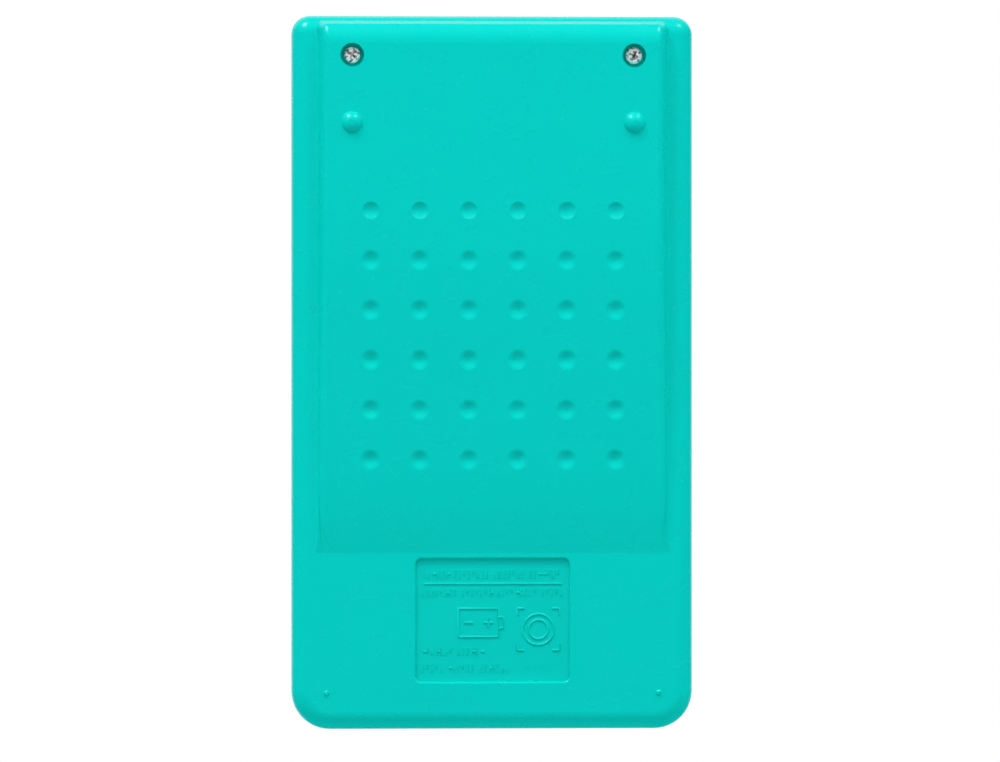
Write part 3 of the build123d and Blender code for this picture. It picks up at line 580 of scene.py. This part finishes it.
# Each row is given by its left and right end, its height and its place up the label.
rows = row_of_marks(-11.1, 11.2, 1.25, 7.45)
rows.append([(-11.1, RULE_V), (11.2, RULE_V)])
rows += row_of_marks(-11.3, 11.3, 1.05, 4.45)
rows += row_of_marks(-11.3, -1.2, 1.05, -5.05)
rows += row_of_marks(-11.3, 2.4, 1.15, -7.75)
symbols = battery_mark(-2.3, -0.4, 6.4, 4.6) + cell_mark(7.4, -1.5, 2.5)
symbols += [[(u - HALF_DOT, DOTS_V), (u + HALF_DOT, DOTS_V)] for u in DOTS_U]
piece("label_rows", raised_strokes("label_rows", rows, PRINT_RADIUS), label_plastic)
piece("label_symbols", raised_strokes("label_symbols", symbols, SYMBOL_RADIUS), label_plastic)

# ---------------------------------------------------------------- floor, light and camera

FRAME_WIDTH = 162.5 * MM
CAMERA_LENS = 200.0
SENSOR_WIDTH = 36.0
CAMERA_YAW = math.radians(2.6)
ASIDE = 1.38 * MM
CAMERA_AIM_Z = 4.5
LIGHT_AIM_Z = 3
FLOOR_HALF_SIZE = 1.5


def floor():
    """A pale table top. From below it can't be seen, and it neither shades nor lights the underside."""
    mesh = bpy.data.meshes.new("floor")
    half = FLOOR_HALF_SIZE
    corners = [(-half, -half, 0), (half, -half, 0), (half, half, 0), (-half, half, 0)]
    mesh.from_pydata(corners, [], [(0, 1, 2, 3)])
    plane = bpy.data.objects.new("floor", mesh)
    bpy.context.scene.collection.objects.link(plane)
    material, main = shader("floor_paint", Roughness=0.8)
    mottle = tint(material, noise(material, 9.0, 3.0), (0.80, 0.80, 0.79), (0.84, 0.84, 0.83))
    link(material, mottle, main.inputs["Base Color"])
    geometry = add_node(material, "ShaderNodeNewGeometry")
    clear = add_node(material, "ShaderNodeBsdfTransparent")
    mix = add_node(material, "ShaderNodeMixShader")
    link(material, geometry.outputs["Backfacing"], mix.inputs[0])
    link(material, main.outputs[0], mix.inputs[1])
    link(material, clear.outputs[0], mix.inputs[2])
    link(material, mix.outputs[0], material.node_tree.nodes["Material Output"].inputs["Surface"])
    mesh.materials.append(material)
    plane.visible_diffuse = False
    plane.visible_glossy = False
    plane.visible_transmission = False
    plane.visible_shadow = False


def studio_world(background, ambient, reflected):
    """White behind the object, a little even light on it, and less for its gloss to mirror."""
    world = bpy.data.worlds.new("studio")
    bpy.context.scene.world = world
    world.use_nodes = True
    tree = world.node_tree
    tree.nodes.clear()
    path = tree.nodes.new("ShaderNodeLightPath")
    output = tree.nodes.new("ShaderNodeOutputWorld")
    levels = []
    for level in (ambient, background, reflected):
        shade = tree.nodes.new("ShaderNodeBackground")
        shade.inputs["Strength"].default_value = level
        shade.inputs["Color"].default_value = (1, 1, 1, 1)
        levels.append(shade)
    camera_mix = tree.nodes.new("ShaderNodeMixShader")
    gloss_mix = tree.nodes.new("ShaderNodeMixShader")
    tree.links.new(path.outputs["Is Camera Ray"], camera_mix.inputs[0])
    tree.links.new(levels[0].outputs[0], camera_mix.inputs[1])
    tree.links.new(levels[1].outputs[0], camera_mix.inputs[2])
    tree.links.new(path.outputs["Is Glossy Ray"], gloss_mix.inputs[0])
    tree.links.new(camera_mix.outputs[0], gloss_mix.inputs[1])
    tree.links.new(levels[2].outputs[0], gloss_mix.inputs[2])
    tree.links.new(gloss_mix.outputs[0], output.inputs["Surface"])


def polar(off_normal, azimuth, side):
    """Direction at an angle off the back's (side -1) or the front's (side 1) normal, turned from +Y to +X."""
    off, turn = math.radians(off_normal), math.radians(azimuth)
    return (math.sin(off) * math.sin(turn), math.sin(off) * math.cos(turn), side * math.cos(off))


def panel(name, direction, distance, width, height, brightness, glossy):
    """A soft rectangular light that faces the object; its face is brightness times as bright as white."""
    data = bpy.data.lights.new(name, "AREA")
    data.shape = "RECTANGLE"
    data.size = width
    data.size_y = height
    data.energy = brightness * math.pi * width * height
    light = bpy.data.objects.new(name, data)
    bpy.context.scene.collection.objects.link(light)
    toward = (CASE_X * direction[0] + CASE_Y * direction[1] + CASE_Z * direction[2]).normalized()
    light.location = at(0, 0, LIGHT_AIM_Z) + toward * distance
    light.rotation_mode = "QUATERNION"
    light.rotation_quaternion = toward.to_track_quat("Z", "Y")
    light.visible_glossy = glossy
    data.cycles.use_multiple_importance_sampling = glossy
    light.visible_camera = False


def camera():
    data = bpy.data.cameras.new("camera")
    data.lens = CAMERA_LENS
    data.sensor_width = SENSOR_WIDTH
    view = bpy.data.objects.new("camera", data)
    bpy.context.scene.collection.objects.link(view)
    distance = FRAME_WIDTH * CAMERA_LENS / SENSOR_WIDTH
    back = (-CASE_Z * math.cos(CAMERA_YAW) + CASE_X * math.sin(CAMERA_YAW)).normalized()
    up = CASE_Y
    right = up.cross(back)
    middle = at(0, 0, CAMERA_AIM_Z) + right * ASIDE - up * ASIDE
    turn = Matrix((right, up, back)).transposed().to_4x4()
    view.matrix_world = Matrix.Translation(middle + back * distance) @ turn
    data.clip_start = 0.01
    data.clip_end = 20
    bpy.context.scene.camera = view


floor()
studio_world(background=1.0, ambient=0.12, reflected=0.02)
# Each light has a direction, then its distance, width and height in metres, and its brightness.
panel("softbox_left", polar(70, 28, -1), 1.5, 0.36, 0.36, 21.0, glossy=True)
panel("softbox_right", polar(70, -28, -1), 1.5, 0.32, 0.32, 12.5, glossy=True)
panel("fill_behind", polar(0, 0, -1), 1.2, 2.4, 2.4, 0.73, glossy=False)
panel("fill_display_end", polar(60, 0, -1), 1.6, 1.0, 1.0, 3.7, glossy=False)
panel("fill_key_end", polar(105, 180, -1), 1.3, 2.4, 1.0, 2.2, glossy=False)
panel("fill_left", polar(105, 90, -1), 1.3, 1.0, 2.4, 1.35, glossy=False)
panel("fill_right", polar(105, -90, -1), 1.3, 1.0, 2.4, 1.7, glossy=False)
panel("softbox_above", polar(15, 10, 1), 1.2, 2.6, 2.6, 0.85, glossy=True)
camera()
bpy.context.scene.view_settings.view_transform = "Standard"
